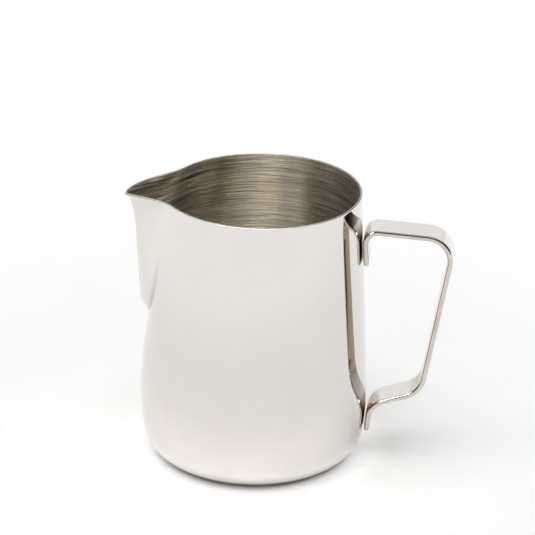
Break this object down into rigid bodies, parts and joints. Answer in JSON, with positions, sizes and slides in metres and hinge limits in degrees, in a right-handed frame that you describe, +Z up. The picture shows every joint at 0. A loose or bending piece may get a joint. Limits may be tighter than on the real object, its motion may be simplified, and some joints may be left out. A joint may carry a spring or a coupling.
{
  "type": "milk frothing pitcher",
  "caption": "Straight-sided steel jug that widens to a round base, with a pressed pouring beak and a flat bent strap handle spot-welded to its side.",
  "frame": {"origin": "centre of the flat underside, on the jug's axis, on the surface that it stands on", "axes": "+Z up along the jug's axis, +X towards the handle, the beak points along -X, and the XZ plane is the plane of symmetry"},
  "size_m": [0.1283, 0.0898, 0.11],
  "materials": {
    "polished_steel": "mirror-polished stainless steel outside, fine brushed rings inside",
    "strap_steel": "polished faces with a fine lengthways grain and rounded edges",
    "weld_steel": "dull fused steel, heat-tinted"
  },
  "bodies": {
    "root": {"jug_body": "polished_steel", "handle_strap": "strap_steel", "upper_left_spot_weld": "weld_steel", "upper_right_spot_weld": "weld_steel", "lower_left_spot_weld": "weld_steel", "lower_right_spot_weld": "weld_steel"}
  },
  "joints": []
}
